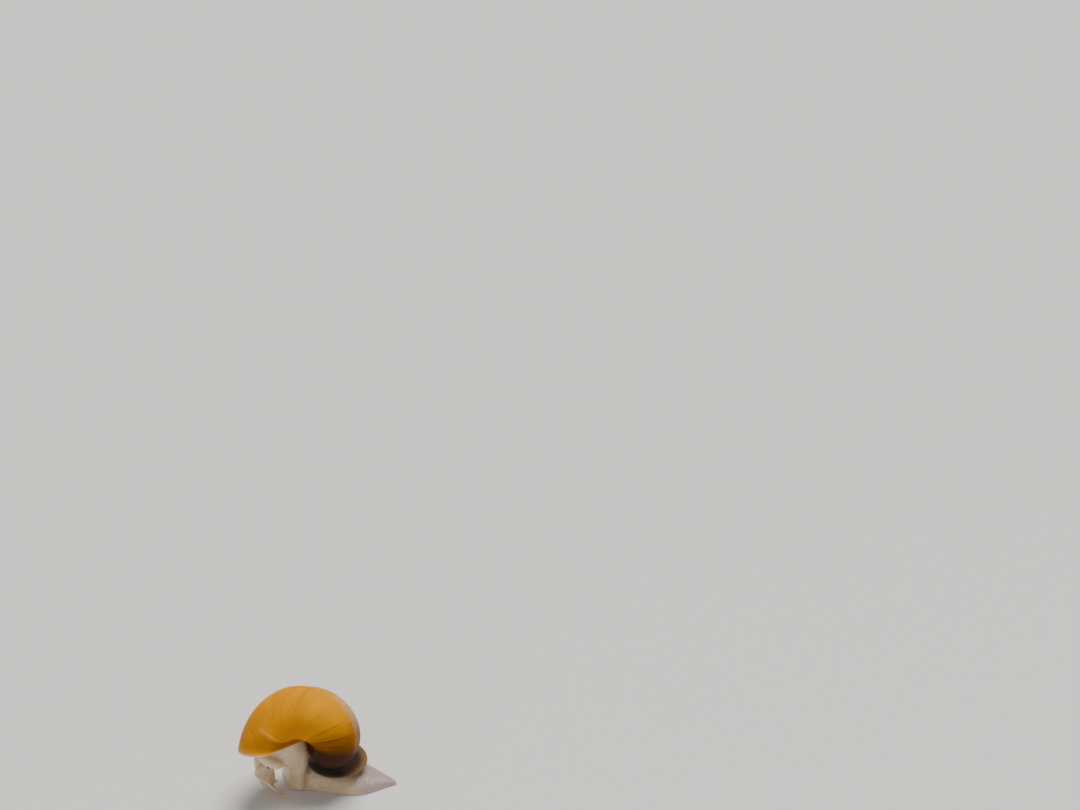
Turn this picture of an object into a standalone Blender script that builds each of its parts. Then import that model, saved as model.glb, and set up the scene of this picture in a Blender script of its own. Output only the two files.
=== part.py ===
"""A golden apple snail crawling with its shell carried over its back, life size.

Metres, +Z up, the floor at z = 0. The snail faces -Y and its left side is +X.
The shell's own axis runs from the umbilicus to the apex, which points back, to the right and a little down.
"""
import math

import bmesh
import bpy
from mathutils import Matrix, Vector

MM = 0.001
GAP = 0.32 * MM                     # between pieces that touch
MERGE = 0.002 * MM                  # vertices this close are one
SHARP_ANGLE = math.radians(50)      # steeper edges than this are shaded sharp

# The shell in life: how it grows, and how it is carried
SHELL_HEIGHT = 46.0 * MM            # apex to base along its axis
WHORL_GROWTH = 2.4                  # times larger with each turn
WHORLS = 4
STEPS_PER_WHORL = 32
OUTLINE_STEPS = 2                   # mesh steps in each span of the whorl's outline
UMBILICUS_WHORLS = 2
APEX_BEARING = math.radians(131)    # from +X, towards the back and the right
APEX_DIP = math.radians(9.5)        # below level
SHELL_ROLL = math.radians(18)       # the mouth opens down and this much to the left
UMBILICUS = Vector((20.4, -12.6, 26.6)) * MM
UMBILICUS_AT = 0.84                 # its place on the axis, in parts of the shell's height
LIP_THICKNESS = 1.0 * MM
MOUTH_DEPTH = math.radians(56)      # how far round the whorl the mouth is hollow
MOUTH_STEPS = 6
SHARPEST_CORNER = 0.5               # limits how far a corner of the rim moves inwards

# The whorl's outline at the mouth, as (distance from the axis, distance along it from the apex), in parts of
# the shell's height, from the suture to where the next whorl would join, and from there round the base.
SUTURE = Vector((0.220, -0.280))
SHOULDER = [(0.306, -0.300), (0.380, -0.358), (0.458, -0.452), (0.500, -0.565)]
BASE = [(0.490, -0.812), (0.380, -0.940), (0.262, -0.995), (0.160, -0.998), (0.100, -0.960), (0.077, -0.895)]
CALLUS_POINTS = 3                   # points of the old whorl's base that the inner lip covers

# The mantle, the flesh that lines the mouth
MANTLE_START = math.radians(6)
MANTLE_END = math.radians(53)
MANTLE_COLLAR = 0.12                # its rounded edge, in parts of its width

# The foot: places along the body, as (y, centre x, half width, height)
FOOT_STATIONS = [
    (-10.4, -3.6, 3.0, 1.2),
    (-9.8, -3.6, 6.6, 2.4),
    (-7.4, -3.8, 8.4, 4.0),
    (-3.0, -4.0, 10.0, 6.0),
    (3.0, -2.5, 11.9, 7.6),
    (10.0, 0.3, 13.3, 7.6),
    (16.0, 3.2, 11.4, 6.0),
    (21.0, 6.1, 7.3, 4.0),
    (25.0, 8.7, 3.5, 2.8),
    (27.6, 10.2, 1.5, 1.8),
    (28.8, 10.8, 0.6, 1.1),
]
FOOT_EDGE = 1.2                     # thickness of the sole's thin margin
FOOT_EDGE_SHARE = 0.6               # of the foot's height, where that is thinner
FOOT_SWELL = 1.7                    # how squarely the foot's back swells, 1 for a plain arch
FOOT_ROUNDING = 0.8                 # how softly it meets the margin
FOOT_STEPS = 2                      # sections in each span between the places
SOLE_TRIM = 1.5                     # shaped this far below the floor, then cut flat
FOOT_SIDES = 14

# Round forms of the body along a line, as (x, y, z, half width, half depth)
NECK_STATIONS = [
    (-1.0, -6.0, 1.5, 8.6, 3.4),
    (-0.6, -6.1, 7.5, 7.6, 3.3),
    (1.2, -6.4, 12.5, 6.8, 4.8),
    (3.4, -8.6, 17.0, 6.9, 7.2),
    (5.2, -12.4, 21.5, 8.2, 8.4),
    (5.6, -14.6, 26.0, 8.8, 8.0),
]
HEAD_STATIONS = [
    (2.6, -10.5, 17.0, 5.6, 4.8),
    (2.4, -14.6, 15.8, 6.1, 5.0),
    (2.1, -17.4, 13.0, 5.4, 4.4),
    (1.8, -17.8, 9.6, 4.1, 3.5),
    (1.6, -17.1, 6.6, 3.7, 3.0),
    (1.5, -16.2, 4.3, 3.8, 2.4),
    (1.5, -15.8, 3.4, 2.9, 1.5),
]
# The mouth, a slit between two lips at the snout's end, and its turn about X in degrees
MOUTH_PLACE = (1.5, -18.4, 4.3)
MOUTH_TURN = 30
LIPS_APART = 1.35                   # from the middle
LIP_SIZE = (1.35, 1.3, 1.7)         # half sizes
SLIT_SIZE = (0.28, 1.8, 1.7)
SIPHON_STATIONS = [
    (9.6, -19.0, 24.0, 3.2, 2.4),
    (12.6, -19.4, 21.6, 2.8, 2.1),
    (14.0, -17.4, 19.6, 2.5, 1.9),
    (14.2, -15.0, 18.3, 2.2, 1.7),
    (13.9, -12.9, 17.5, 1.3, 1.1),
]
RIGHT_LOBE_STATIONS = [
    (-1.0, -14.5, 19.4, 2.6, 2.2),
    (-3.8, -14.8, 17.6, 2.4, 1.8),
    (-5.4, -13.6, 15.8, 2.0, 1.5),
    (-6.0, -12.0, 14.6, 1.2, 1.0),
]
# Thin cuts between the body's parts, as (middle, turn about X in degrees, width, depth)
PART_CUTS = [
    ((5.0, 20.6, 2.0), 90, 30, 20),
    ((-0.8, -6.4, 7.2), 0, 22, 10.4),
    ((2.2, -17.0, 15.0), -38, 20, 14.4),
    ((1.8, -17.7, 9.4), -6, 13, 11),
]
PART_MIDDLES = {
    "foot": (0, 3, 3),
    "foot_tail": (8.6, 24, 1),
    "neck": (2, -9, 15),
    "head": (2, -16, 13),
    "snout": (1.6, -17, 6),
}
LOFT_SIDES = 20
LOFT_STEPS = 3                      # rings in each span between the places
LOBE_SIDES = 14
FLESH_VOXEL = 0.75 * MM
FLESH_TRIANGLES = 4200
SOFTEN = 0.5                        # the smoothing's strength, and how often it's repeated
SOFTEN_TIMES = 6

# The operculum, a horny dish on the back of the foot, under the shell
DISH_CENTRE = Vector((0.8, 8.8, 6.3)) * MM
DISH_HALF_WIDTH = 13.6 * MM         # across the foot
DISH_HALF_LENGTH = 10.4 * MM        # along it
DISH_RISE = 2.3 * MM
DISH_THICKNESS = 0.8 * MM
DISH_EDGE = 0.5 * MM
DISH_EGG = 0.06                     # how much longer it is on its left side
DISH_TILT = math.radians(4)         # the back edge up
DISH_TURN = math.radians(11)        # its left side towards the tail
DISH_HEADROOM = 2.5 * MM            # kept free of flesh above it
DISH_RINGS = 6
DISH_SPOKES = 36

# Feelers, each a line of points with a diameter at its root and at its tip
LEFT_TENTACLE = [
    (3.6, -17.2, 13.2), (6.8, -19.4, 14.2), (8.6, -21.2, 13.9), (8.9, -21.8, 12.2), (8.6, -20.8, 10.4),
    (8.3, -18.9, 8.4), (8.1, -16.9, 6.0), (8.0, -14.8, 3.2), (8.3, -12.9, 0.9), (9.1, -11.2, 0.36),
    (10.0, -9.8, 0.34),
]
RIGHT_TENTACLE = [
    (0.6, -17.2, 13.2), (-2.6, -19.2, 14.2), (-6.0, -19.2, 13.0), (-9.2, -17.2, 10.2), (-11.8, -13.6, 7.0),
    (-13.6, -9.4, 3.6), (-14.8, -5.4, 1.2), (-16.0, -2.4, 0.4), (-16.6, -1.0, 0.34),
]
TENTACLE_ROOT = 1.9
TENTACLE_TIP = 0.8
LEFT_PALP = [
    (2.6, -16.6, 4.6), (3.7, -15.9, 3.2), (4.4, -14.6, 1.6), (5.0, -13.0, 0.6), (5.9, -11.8, 0.34),
]
RIGHT_PALP = [
    (0.4, -16.6, 4.6), (-0.9, -16.2, 3.2), (-2.0, -15.4, 1.7), (-3.0, -14.0, 0.7), (-3.4, -12.6, 0.34),
]
PALP_ROOT = 1.8
PALP_TIP = 0.8
LEFT_STALK = [(5.0, -16.2, 13.6), (7.8, -16.9, 14.2), (9.9, -17.5, 14.9)]
RIGHT_STALK = [(-0.6, -16.2, 13.6), (-3.4, -16.9, 14.2), (-5.5, -17.5, 14.9)]
STALK_ROOT = 2.6
STALK_TIP = 1.9
EYE_RADIUS = 0.7 * MM
FEELER_STEPS = 3                    # mesh steps between the points of a line
FEELER_SIDES = 2                    # bevel resolution
TENTACLE_LENGTHS = (("root", (0, 0.4)), ("middle", (0.4, 0.72)), ("tip", (0.72, 1)))
EYE_DETAIL = 2                      # subdivisions of the ball
PAD_DETAIL = 2


def clear_scene():
    """Leaves an empty file to build in."""
    for obj in list(bpy.data.objects):
        bpy.data.objects.remove(obj)


def collection_of(name):
    """A collection of this name in the scene."""
    found = bpy.data.collections.new(name)
    bpy.context.scene.collection.children.link(found)
    return found


def material(name, colour, roughness):
    """A plain Principled material."""
    made = bpy.data.materials.new(name)
    made.use_nodes = True
    shader = made.node_tree.nodes["Principled BSDF"]
    shader.inputs["Base Color"].default_value = (*colour, 1.0)
    shader.inputs["Roughness"].default_value = roughness
    return made


def object_from(bm, name, collection):
    """A new object from a bmesh, with its doubles merged and its faces pointing out."""
    bmesh.ops.remove_doubles(bm, verts=bm.verts, dist=MERGE)
    bmesh.ops.recalc_face_normals(bm, faces=bm.faces)
    mesh = bpy.data.meshes.new(name)
    bm.to_mesh(mesh)
    bm.free()
    obj = bpy.data.objects.new(name, mesh)
    collection.objects.link(obj)
    return obj


def baked(obj):
    """The object's evaluated mesh put in the place of its mesh and modifiers."""
    bpy.context.view_layer.update()
    depsgraph = bpy.context.evaluated_depsgraph_get()
    mesh = bpy.data.meshes.new_from_object(obj.evaluated_get(depsgraph))
    obj.modifiers.clear()
    obj.data = mesh
    return obj


def hide_cutter(obj):
    """Marks a helper that isn't part of the snail."""
    obj.hide_render = True
    obj.display_type = "WIRE"
    return obj


def cut(obj, cutters, solver="EXACT"):
    """Takes the cutters away from the object."""
    for cutter in cutters:
        boolean = obj.modifiers.new("cut", "BOOLEAN")
        boolean.operation = "DIFFERENCE"
        boolean.solver = solver
        boolean.object = cutter
    return baked(obj)


def islands(obj):
    """The object's separate closed surfaces as lists of face numbers, largest box first."""
    bm = bmesh.new()
    bm.from_mesh(obj.data)
    bm.faces.ensure_lookup_table()
    seen = set()
    found = []
    for face in bm.faces:
        if face.index in seen:
            continue
        seen.add(face.index)
        group = [face]
        for member in group:
            for edge in member.edges:
                for other in edge.link_faces:
                    if other.index not in seen:
                        seen.add(other.index)
                        group.append(other)
        found.append(group)
    sizes = []
    for group in found:
        points = [v.co for f in group for v in f.verts]
        diagonal = Vector([max(p[i] for p in points) - min(p[i] for p in points) for i in range(3)])
        middle = sum((f.calc_center_median() * f.calc_area() for f in group), Vector())
        middle /= sum(f.calc_area() for f in group)
        sizes.append((diagonal.length, middle, [f.index for f in group]))
    bm.free()
    return sorted(sizes, key=lambda item: -item[0])


def keep_faces(obj, name, faces, collection):
    """A new object that holds only these faces of the object."""
    bm = bmesh.new()
    bm.from_mesh(obj.data)
    kept = set(faces)
    bmesh.ops.delete(bm, geom=[f for f in bm.faces if f.index not in kept], context="FACES")
    return object_from(bm, name, collection)


def keep_largest(obj):
    """Drops every closed surface of the object but its largest."""
    largest = set(islands(obj)[0][2])
    bm = bmesh.new()
    bm.from_mesh(obj.data)
    bmesh.ops.delete(bm, geom=[f for f in bm.faces if f.index not in largest], context="FACES")
    bm.to_mesh(obj.data)
    bm.free()
    return obj


def smooth_line(points, steps):
    """A smooth line through points, as Catmull-Rom spans of this many steps."""
    points = [Vector(p) for p in points]
    ends = [2 * points[0] - points[1], *points, 2 * points[-1] - points[-2]]
    line = []
    for a, b, c, d in zip(ends, ends[1:], ends[2:], ends[3:]):
        for step in range(steps):
            t = step / steps
            bend = (2 * a - 5 * b + 4 * c - d) * t**2 + (3 * b - a - 3 * c + d) * t**3
            line.append(0.5 * (2 * b + (c - a) * t + bend))
    line.append(points[-1])
    return line


def bridge(bm, rows, closed=False):
    """Quads between neighbouring rows of vertices, which are round when closed."""
    for first, second in zip(rows, rows[1:]):
        count = len(first)
        for i in range(count if closed else count - 1):
            j = (i + 1) % count
            bm.faces.new((first[i], first[j], second[j], second[i]))


def fan(bm, ring, centre):
    """Triangles from a closed ring of vertices to a point."""
    tip = bm.verts.new(centre)
    for first, second in zip(ring, [*ring[1:], ring[0]]):
        bm.faces.new((first, second, tip))


def flatten(bm):
    """Cuts away what lies below the floor and closes the mesh there."""
    everything = [*bm.verts, *bm.edges, *bm.faces]
    bmesh.ops.bisect_plane(bm, geom=everything, plane_co=(0, 0, 0), plane_no=(0, 0, 1), clear_inner=True)
    bmesh.ops.holes_fill(bm, edges=[e for e in bm.edges if e.is_boundary])


# The shell


def whorl_outline():
    """The whorl's outline at the mouth in metres, and where along it the next whorl joins."""
    joint = SUTURE * WHORL_GROWTH
    shoulder = [SUTURE, *map(Vector, SHOULDER), joint]
    whole = smooth_line([*shoulder, *map(Vector, BASE)], OUTLINE_STEPS)
    return [p * SHELL_HEIGHT for p in whole], OUTLINE_STEPS * (len(shoulder) - 1)


def whorl_point(point, turn):
    """A point of the outline carried back along the coil, in the frame whose origin is the apex."""
    size = WHORL_GROWTH ** (turn / math.tau)
    return Vector((point.x * math.cos(turn), -point.x * math.sin(turn), point.y)) * size


def whorl_row(bm, points, turn):
    """A row of vertices along the whorl's outline at this angle."""
    return [bm.verts.new(whorl_point(p, turn)) for p in points]


def mouth_outline():
    """The mouth's rim from the suture round the outer lip and base, and back along the inner lip."""
    outline, joint = whorl_outline()
    old_base = [p / WHORL_GROWTH for p in outline[joint + 1 :]]
    covered = OUTLINE_STEPS * CALLUS_POINTS
    inner_lip = list(reversed(old_base[:-covered]))
    return [*outline, outline[-1].lerp(inner_lip[0], 0.5), *inner_lip]


def inward(outline, distance):
    """A closed outline moved towards its inside, with its sides kept parallel."""
    moved = []
    for before, point, after in zip([outline[-1], *outline], outline, [*outline[1:], outline[0]]):
        sides = [(point - before).normalized(), (after - point).normalized()]
        first, second = (Vector((side.y, -side.x)) for side in sides)
        moved.append(point + (first + second) * distance / max(1 + first.dot(second), SHARPEST_CORNER))
    return moved


def shell_frame():
    """The matrix that carries the shell's own frame to its place over the snail's back."""
    level = math.cos(APEX_DIP)
    axis = Vector((math.cos(APEX_BEARING) * level, math.sin(APEX_BEARING) * level, -math.sin(APEX_DIP)))
    up = Vector((-math.sin(SHELL_ROLL), 0, math.cos(SHELL_ROLL)))
    up = (up - axis * up.dot(axis)).normalized()
    turned = Matrix((up.cross(axis), up, axis)).transposed()
    base = turned @ Vector((0, 0, -UMBILICUS_AT * SHELL_HEIGHT))
    return Matrix.Translation(UMBILICUS - base) @ turned.to_4x4()


def make_shell(collection):
    """The coiled shell as one closed solid, hollow just inside its mouth."""
    outline, joint = whorl_outline()
    step = math.tau / STEPS_PER_WHORL
    turns = [(i - WHORLS * STEPS_PER_WHORL) * step for i in range(WHORLS * STEPS_PER_WHORL + 1)]
    bm = bmesh.new()

    sides = [whorl_row(bm, outline[: joint + 1], turn) for turn in turns]
    bridge(bm, sides)
    first_turn = [side[0] for side in sides[: STEPS_PER_WHORL + 1]]
    fan(bm, [*first_turn, *reversed(sides[0][1:-1])], (0, 0, 0))
    bridge(bm, [whorl_row(bm, outline[joint:], turn) for turn in turns[-STEPS_PER_WHORL - 1 :]])

    # The umbilicus: the wall that the coil leaves round its axis, closed by a floor deep inside
    rim = outline[-1]
    wall = [rim, rim.lerp(rim / WHORL_GROWTH, 0.5), rim / WHORL_GROWTH]
    rows = [whorl_row(bm, wall, turn) for turn in turns[-UMBILICUS_WHORLS * STEPS_PER_WHORL - 1 :]]
    bridge(bm, rows)
    deepest = [row[-1] for row in rows[: STEPS_PER_WHORL + 1]]
    floor = sum((v.co.z for v in deepest), 0.0) / len(deepest)
    fan(bm, [*reversed(deepest), *rows[0][1:-1]], (0, 0, floor))

    # The inner lip: a flat callus over the old whorl's base and the columella
    mouth = mouth_outline()
    old_base = [p / WHORL_GROWTH for p in outline[joint + 1 :]]
    covered = old_base[-OUTLINE_STEPS * CALLUS_POINTS - 1 :]
    callus = [rim, mouth[len(outline)], *covered, wall[1]]
    bm.faces.new(whorl_row(bm, callus, 0.0))

    # The mouth, a throat that follows the coil inwards
    throat = inward(mouth, LIP_THICKNESS)
    rings = [whorl_row(bm, mouth, 0.0)]
    rings += [whorl_row(bm, throat, -MOUTH_DEPTH * i / MOUTH_STEPS) for i in range(MOUTH_STEPS + 1)]
    bridge(bm, rings, closed=True)
    fan(bm, rings[-1], whorl_point(sum(throat, Vector((0, 0))) / len(throat), -MOUTH_DEPTH))

    bm.transform(shell_frame())
    return object_from(bm, "shell", collection)


def make_mantle(collection):
    """The mantle, which lines the mouth behind the lip and ends in a rounded collar."""
    snug = inward(mouth_outline(), LIP_THICKNESS + GAP)
    middle = sum(snug, Vector((0, 0))) / len(snug)
    bm = bmesh.new()
    rings = []
    for share in (0.5, MANTLE_COLLAR):
        rings.append(whorl_row(bm, [p.lerp(middle, share) for p in snug], -MANTLE_START))
    for i in range(1, MOUTH_STEPS):
        rings.append(whorl_row(bm, snug, -MOUTH_DEPTH * i / MOUTH_STEPS))
    rings.append(whorl_row(bm, snug, -MANTLE_END))
    bridge(bm, rings, closed=True)
    fan(bm, rings[0], whorl_point(middle, -MANTLE_START))
    fan(bm, rings[-1], whorl_point(middle, -MANTLE_END))
    bm.transform(shell_frame())
    return object_from(bm, "mantle", collection)


# The operculum


def make_operculum(name, collection, grow=0.0, headroom=0.0):
    """The horny dish on the back of the foot, hollow side up, or the room that it needs, as a cutter."""
    bm = bmesh.new()

    def ring(share, side):
        thickness = DISH_EDGE + (DISH_THICKNESS - DISH_EDGE) * (1 - share)
        height = DISH_RISE * share**2 + side * (thickness / 2 + grow) + headroom * (side > 0)
        rim = grow * (share == 1)
        radii = (DISH_HALF_WIDTH * share + rim, DISH_HALF_LENGTH * share + rim)
        spots = []
        for spoke in range(DISH_SPOKES):
            angle = math.tau * spoke / DISH_SPOKES
            egg = 1 + DISH_EGG * math.cos(angle)
            spots.append(bm.verts.new((radii[0] * math.cos(angle), radii[1] * egg * math.sin(angle), height)))
        return spots

    shares = [(i + 1) / DISH_RINGS for i in range(DISH_RINGS)]
    upper = [ring(share, 1) for share in shares]
    lower = [ring(share, -1) for share in reversed(shares)]
    bridge(bm, [*upper, *lower], closed=True)
    fan(bm, upper[0], (0, 0, DISH_THICKNESS / 2 + grow + headroom))
    fan(bm, lower[-1], (0, 0, -DISH_THICKNESS / 2 - grow))
    turned = Matrix.Rotation(DISH_TILT, 4, "X") @ Matrix.Rotation(DISH_TURN, 4, "Z")
    bm.transform(Matrix.Translation(DISH_CENTRE) @ turned)
    return object_from(bm, name, collection)


# The flesh


def loft(bm, stations, sides):
    """A closed round form through stations of (x, y, z, half width, half depth), in millimetres."""
    places = [Vector(s[:3]) for s in stations]
    before = [places[0], *places[:-1]]
    after = [*places[1:], places[-1]]
    rings = []
    for place, start, end, station in zip(places, before, after, stations):
        along = (end - start).normalized()
        across = (Vector((1, 0, 0)) - along * along.x).normalized()
        deep = along.cross(across)
        ring = []
        for side in range(sides):
            angle = math.tau * side / sides
            spot = place + across * station[3] * math.cos(angle) + deep * station[4] * math.sin(angle)
            ring.append(bm.verts.new(spot * MM))
        rings.append(ring)
    bridge(bm, rings, closed=True)
    bm.faces.new(rings[0])
    bm.faces.new(rings[-1])


def pad(bm, centre, size):
    """A round pad at the mouth, with half sizes in millimetres."""
    turned = Matrix.Translation(centre * MM) @ Matrix.Rotation(math.radians(MOUTH_TURN), 4, "X")
    stretched = turned @ Matrix.Diagonal((*(Vector(size) * MM), 1))
    bmesh.ops.create_icosphere(bm, subdivisions=PAD_DETAIL, radius=1.0, matrix=stretched)


def smooth_stations(stations):
    """Stations with smooth ones between them."""
    places = smooth_line([s[:3] for s in stations], LOFT_STEPS)
    sizes = smooth_line([(s[3], s[4], 0) for s in stations], LOFT_STEPS)
    return [(*place, size.x, size.y) for place, size in zip(places, sizes)]


def foot_section(width, height):
    """Points across the foot at one station, as (x, z), from the sole round over the back."""
    points = [(-width, -SOLE_TRIM), (width, -SOLE_TRIM)]
    edge = min(FOOT_EDGE, FOOT_EDGE_SHARE * height)
    for i in range(FOOT_SIDES + 1):
        share = math.cos(math.pi * i / FOOT_SIDES)
        swell = (1 - abs(share) ** (2 * FOOT_SWELL)) ** FOOT_ROUNDING
        points.append((width * share, edge + (height - edge) * swell))
    return points


def add_foot(bm):
    """The foot as a loft of sections from its blunt front to its pointed tail."""
    line = smooth_line([(s[1], s[0], 0) for s in FOOT_STATIONS], FOOT_STEPS)
    sizes = smooth_line([(s[2], s[3], 0) for s in FOOT_STATIONS], FOOT_STEPS)
    rows = []
    for place, size in zip(line, sizes):
        section = foot_section(size.x, size.y)
        rows.append([bm.verts.new(Vector((place.x + x, place.y, z)) * MM) for x, z in section])
    bridge(bm, rows, closed=True)
    bm.faces.new(rows[0])
    bm.faces.new(rows[-1])


def make_flesh(collection):
    """Foot, neck and head as one smooth closed body with a flat sole."""
    bm = bmesh.new()
    add_foot(bm)
    for stations in (NECK_STATIONS, HEAD_STATIONS):
        loft(bm, smooth_stations(stations), LOFT_SIDES)
    for side in (-LIPS_APART, LIPS_APART):
        pad(bm, Vector(MOUTH_PLACE) + Vector((side, 0, 0)), LIP_SIZE)
    flesh = object_from(bm, "flesh", collection)
    remesh = flesh.modifiers.new("skin", "REMESH")
    remesh.mode = "VOXEL"
    remesh.voxel_size = FLESH_VOXEL
    soften = flesh.modifiers.new("soften", "SMOOTH")
    soften.factor = SOFTEN
    soften.iterations = SOFTEN_TIMES
    baked(flesh)
    flesh.data.calc_loop_triangles()
    thin = flesh.modifiers.new("thin", "DECIMATE")
    thin.ratio = FLESH_TRIANGLES / len(flesh.data.loop_triangles)
    baked(flesh)

    bm = bmesh.new()
    bm.from_mesh(flesh.data)
    flatten(bm)
    bm.to_mesh(flesh.data)
    bm.free()
    return flesh


def grown(obj, name, distance, collection):
    """A helper copy of the object, grown by a distance."""
    copy = bpy.data.objects.new(name, obj.data.copy())
    collection.objects.link(copy)
    swell = copy.modifiers.new("grow", "DISPLACE")
    swell.mid_level = 0.0
    swell.strength = distance
    return hide_cutter(baked(copy))


def slab(name, centre, turn, width, depth, collection):
    """A thin flat cutter, as thick as the gap between pieces."""
    bm = bmesh.new()
    bmesh.ops.create_cube(bm, size=1.0)
    bm.transform(Matrix.Diagonal((width * MM, depth * MM, GAP, 1)))
    turned = Matrix.Rotation(math.radians(turn), 4, "X")
    bm.transform(Matrix.Translation(Vector(centre) * MM) @ turned)
    return hide_cutter(object_from(bm, name, collection))


def lobe(name, stations, collection):
    """One lobe of the neck as its own closed form."""
    bm = bmesh.new()
    loft(bm, smooth_stations(stations), LOBE_SIDES)
    return object_from(bm, name, collection)


def feeler(name, points, root, tip, span, collection):
    """A stretch of a tapered round feeler: span is where it starts and ends along the line, from 0 to 1."""
    line = smooth_line(points, FEELER_STEPS)
    lengths = [0.0]
    for first, second in zip(line, line[1:]):
        lengths.append(lengths[-1] + (second - first).length)
    whole = lengths[-1]
    gap = 0.5 * GAP / MM
    start = span[0] * whole + (gap if span[0] > 0 else 0)
    end = span[1] * whole - (gap if span[1] < 1 else 0)
    inside = [length for length in lengths if start < length < end]
    spots = []
    for length in [start, *inside, end]:
        at = max(i for i, known in enumerate(lengths[:-1]) if known <= length)
        share = (length - lengths[at]) / (lengths[at + 1] - lengths[at])
        spots.append((line[at].lerp(line[at + 1], share), root + (tip - root) * length / whole))
    curve = bpy.data.curves.new(name, "CURVE")
    curve.dimensions = "3D"
    curve.bevel_depth = 0.5 * MM
    curve.bevel_resolution = FEELER_SIDES
    curve.use_fill_caps = True
    spline = curve.splines.new("POLY")
    spline.points.add(len(spots) - 1)
    for point, (place, thick) in zip(spline.points, spots):
        point.co = (*(place * MM), 1)
        point.radius = thick
    drawn = bpy.data.objects.new(name + "_line", curve)
    collection.objects.link(drawn)
    bpy.context.view_layer.update()
    depsgraph = bpy.context.evaluated_depsgraph_get()
    mesh = bpy.data.meshes.new_from_object(drawn.evaluated_get(depsgraph))
    bpy.data.objects.remove(drawn)
    bm = bmesh.new()
    bm.from_mesh(mesh)
    bmesh.ops.remove_doubles(bm, verts=bm.verts, dist=MERGE)
    flatten(bm)
    return object_from(bm, name, collection)


def ball(name, centre, radius, collection):
    """A round ball."""
    bm = bmesh.new()
    bmesh.ops.create_icosphere(bm, subdivisions=EYE_DETAIL, radius=radius)
    bm.transform(Matrix.Translation(centre))
    return object_from(bm, name, collection)


def paint(obj, finish):
    """Gives the object its material and smooth shading."""
    obj.data.materials.clear()
    obj.data.materials.append(finish)
    obj.data.shade_smooth()
    obj.data.set_sharp_from_angle(angle=SHARP_ANGLE)


def main():
    clear_scene()
    snail = collection_of("apple_snail")
    cutters = collection_of("cutters")

    shell = make_shell(snail)
    mantle = make_mantle(snail)
    make_operculum("operculum", snail)
    shell_room = grown(shell, "shell_room", GAP, cutters)
    mantle_room = grown(mantle, "mantle_room", GAP, cutters)
    dish_room = hide_cutter(make_operculum("dish_room", cutters, GAP, DISH_HEADROOM))

    flesh = make_flesh(cutters)
    flesh_room = grown(flesh, "flesh_room", GAP, cutters)
    cuts = [slab(f"cut_{i}", *place, cutters) for i, place in enumerate(PART_CUTS)]
    slit = bmesh.new()
    pad(slit, Vector(MOUTH_PLACE), SLIT_SIZE)
    cuts.append(hide_cutter(object_from(slit, "mouth_slit", cutters)))
    cut(flesh, [mantle_room, shell_room], "MANIFOLD")
    cut(flesh, [dish_room, *cuts])
    pieces = islands(flesh)[: len(PART_MIDDLES)]
    for name, place in PART_MIDDLES.items():
        nearest = min(pieces, key=lambda item: (item[1] - Vector(place) * MM).length)
        keep_largest(keep_faces(flesh, name, nearest[2], snail))
    hide_cutter(flesh)

    for name, stations in (("siphon", SIPHON_STATIONS), ("neck_lobe_right", RIGHT_LOBE_STATIONS)):
        flap = lobe(name, stations, snail)
        cut(flap, [flesh_room, mantle_room, shell_room], "MANIFOLD")
        keep_largest(flap)

    for side, line in (("left", LEFT_TENTACLE), ("right", RIGHT_TENTACLE)):
        for part, span in TENTACLE_LENGTHS:
            piece = feeler(f"tentacle_{side}_{part}", line, TENTACLE_ROOT, TENTACLE_TIP, span, snail)
            if part == "root":
                cut(piece, [flesh_room], "MANIFOLD")
                keep_largest(piece)
    for side, line in (("left", LEFT_PALP), ("right", RIGHT_PALP)):
        piece = feeler(f"palp_{side}", line, PALP_ROOT, PALP_TIP, (0, 1), snail)
        cut(piece, [flesh_room], "MANIFOLD")
        keep_largest(piece)
    for side, line in (("left", LEFT_STALK), ("right", RIGHT_STALK)):
        stalk = feeler(f"eye_stalk_{side}", line, STALK_ROOT, STALK_TIP, (0, 1), snail)
        centre = Vector(line[-1]) * MM
        socket = hide_cutter(ball(f"socket_{side}", centre, EYE_RADIUS + GAP, cutters))
        cut(stalk, [flesh_room, socket], "MANIFOLD")
        keep_largest(stalk)
        ball(f"eye_{side}", centre, EYE_RADIUS, snail)

    skin = material("snail_flesh", (0.72, 0.55, 0.42), 0.45)
    finishes = {
        "shell": material("golden_shell", (0.85, 0.45, 0.04), 0.3),
        "operculum": material("horn", (0.09, 0.05, 0.03), 0.35),
        "eye_left": material("eye", (0.01, 0.01, 0.01), 0.15),
    }
    finishes["eye_right"] = finishes["eye_left"]
    for obj in snail.objects:
        paint(obj, finishes.get(obj.name, skin))

    corners = [obj.matrix_world @ v.co for obj in snail.objects for v in obj.data.vertices]
    low = Vector([min(c[i] for c in corners) for i in range(3)])
    high = Vector([max(c[i] for c in corners) for i in range(3)])
    for obj in snail.objects:
        obj.location -= Vector(((low.x + high.x) / 2, (low.y + high.y) / 2, low.z))


main()
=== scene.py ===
"""A golden apple snail, crawling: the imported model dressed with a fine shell, one skin, horn and eyes.

The snail faces -Y and its left side is +X. The shell is swept along its coil, with two numbers kept on it
for its finish: how many turns a place lies behind the mouth, and how far across the whorl it is.
"""

import math

import bmesh
import bpy
from bpy.props import FloatProperty, FloatVectorProperty, IntProperty, PointerProperty
from mathutils import Matrix, Vector


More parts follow.
